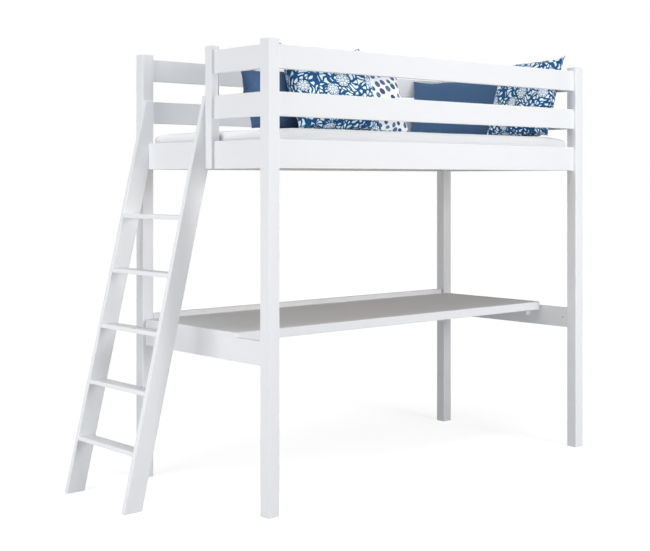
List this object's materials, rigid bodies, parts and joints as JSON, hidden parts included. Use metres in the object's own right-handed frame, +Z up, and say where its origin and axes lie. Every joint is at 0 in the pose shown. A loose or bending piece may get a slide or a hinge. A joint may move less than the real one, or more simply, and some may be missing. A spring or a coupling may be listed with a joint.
{
  "type": "cabin bed",
  "caption": "White cabin bed on tall posts with guard rails, an inclined ladder at one end, a desk plate underneath, a mattress and loose cushions.",
  "frame": {"origin": "on the floor, under the middle of the outline over the bed and its ladder", "axes": "+X along the bed away from the ladder, +Y to the back, +Z up"},
  "size_m": [2.536, 1.012, 2.0647],
  "materials": {
    "white_paint": "white lacquer, satin",
    "desk_paint": "white lacquer, satin",
    "bare_wood": "planed softwood, bare",
    "zinc_steel": "zinc plated",
    "mattress_cloth": "white cotton cover",
    "floral_cloth": "deep blue cotton with white flowers and leaves",
    "dotted_cloth": "white cotton with slate blue ovals",
    "plain_cloth": "mid blue cotton, plain weave"
  },
  "bodies": {
    "root": {"post_front_left": "white_paint", "post_front_right": "white_paint", "post_back_left": "white_paint", "post_back_right": "white_paint", "guard_post": "white_paint", "side_rail_front": "white_paint", "side_rail_back": "white_paint", "end_rail_left": "white_paint", "end_rail_right": "white_paint", "guard_front_lower": "white_paint", "guard_front_upper": "white_paint", "guard_back_lower": "white_paint", "guard_back_upper": "white_paint", "guard_right_lower": "white_paint", "guard_right_upper": "white_paint", "guard_left_lower": "white_paint", "guard_left_upper": "white_paint", "desk_crossbar_left": "white_paint", "desk_crossbar_right": "white_paint", "slat_ledger_front": "bare_wood", "slat_ledger_back": "bare_wood", "slat_1": "bare_wood", "slat_2": "bare_wood", "slat_3": "bare_wood", "slat_4": "bare_wood", "slat_5": "bare_wood", "slat_6": "bare_wood", "slat_7": "bare_wood", "slat_8": "bare_wood", "slat_9": "bare_wood", "slat_10": "bare_wood", "slat_11": "bare_wood", "slat_12": "bare_wood", "slat_13": "bare_wood", "ladder_stile_front": "white_paint", "ladder_stile_back": "white_paint", "step_1": "white_paint", "step_2": "white_paint", "step_3": "white_paint", "step_4": "white_paint", "step_5": "white_paint", "desk_top": "desk_paint", "desk_upstand": "white_paint", "desk_cleat": "white_paint", "bed_bolt_studs": "zinc_steel", "barrel_nuts": "zinc_steel", "ladder_screws": "zinc_steel", "ledger_screws": "zinc_steel", "desk_screws": "zinc_steel", "desk_dowels": "bare_wood", "mattress": "mattress_cloth", "cushion_floral_left": "floral_cloth", "cushion_dotted": "dotted_cloth", "cushion_plain_left": "plain_cloth", "cushion_floral_right": "floral_cloth", "cushion_plain_right": "plain_cloth"}
  },
  "joints": []
}
